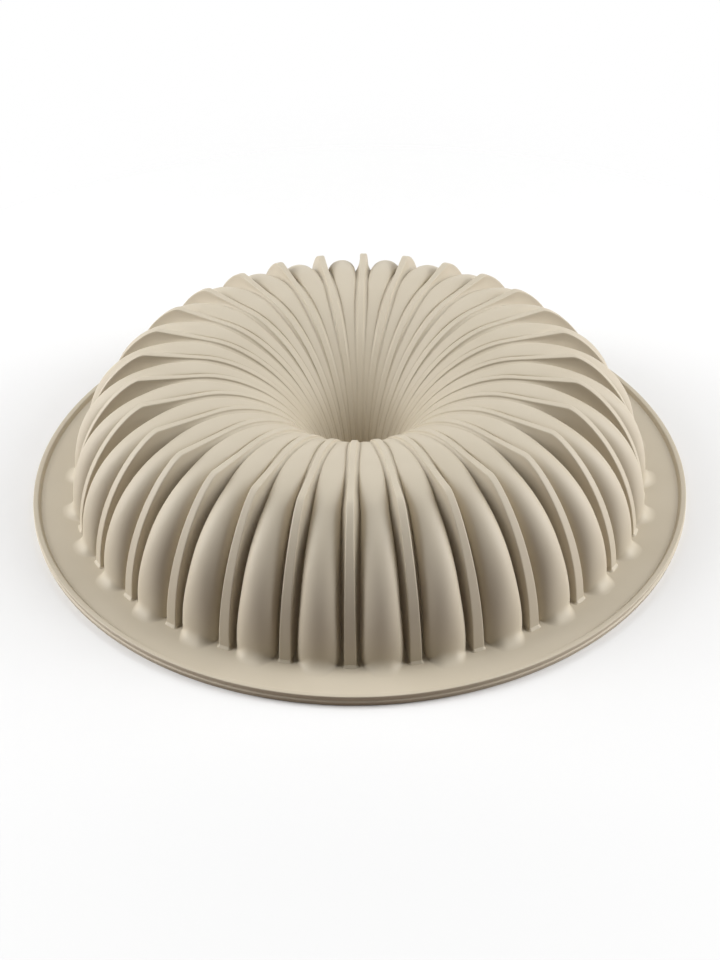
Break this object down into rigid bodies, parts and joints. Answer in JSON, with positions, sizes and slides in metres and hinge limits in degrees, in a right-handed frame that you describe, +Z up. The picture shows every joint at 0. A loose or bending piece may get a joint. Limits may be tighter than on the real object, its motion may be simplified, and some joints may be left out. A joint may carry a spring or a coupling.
{
  "type": "silicone ring cake mould",
  "caption": "Ring-shaped silicone cake mould, upside down: rounded flutes with thin standing fins run from a flat beaded flange over the crown into a ribbed central funnel.",
  "frame": {"origin": "on the mould's axis, on the surface that the rim stands on", "axes": "+Z up along the mould's axis, from the open side towards the crown; a fin stands on -Y"},
  "size_m": [0.26, 0.26, 0.056],
  "materials": {
    "silicone": "matte beige silicone with a soft sheen"
  },
  "bodies": {
    "root": {"rim_bead": "silicone", "flange": "silicone", "funnel": "silicone", "flute_01": "silicone", "flute_02": "silicone", "flute_03": "silicone", "flute_04": "silicone", "flute_05": "silicone", "flute_06": "silicone", "flute_07": "silicone", "flute_08": "silicone", "flute_09": "silicone", "flute_10": "silicone", "flute_11": "silicone", "flute_12": "silicone", "flute_13": "silicone", "flute_14": "silicone", "flute_15": "silicone", "flute_16": "silicone", "flute_17": "silicone", "flute_18": "silicone", "flute_19": "silicone", "flute_20": "silicone", "flute_21": "silicone", "flute_22": "silicone", "flute_23": "silicone", "flute_24": "silicone", "flute_25": "silicone", "flute_26": "silicone", "flute_27": "silicone", "flute_28": "silicone", "flute_29": "silicone", "flute_30": "silicone"}
  },
  "joints": []
}
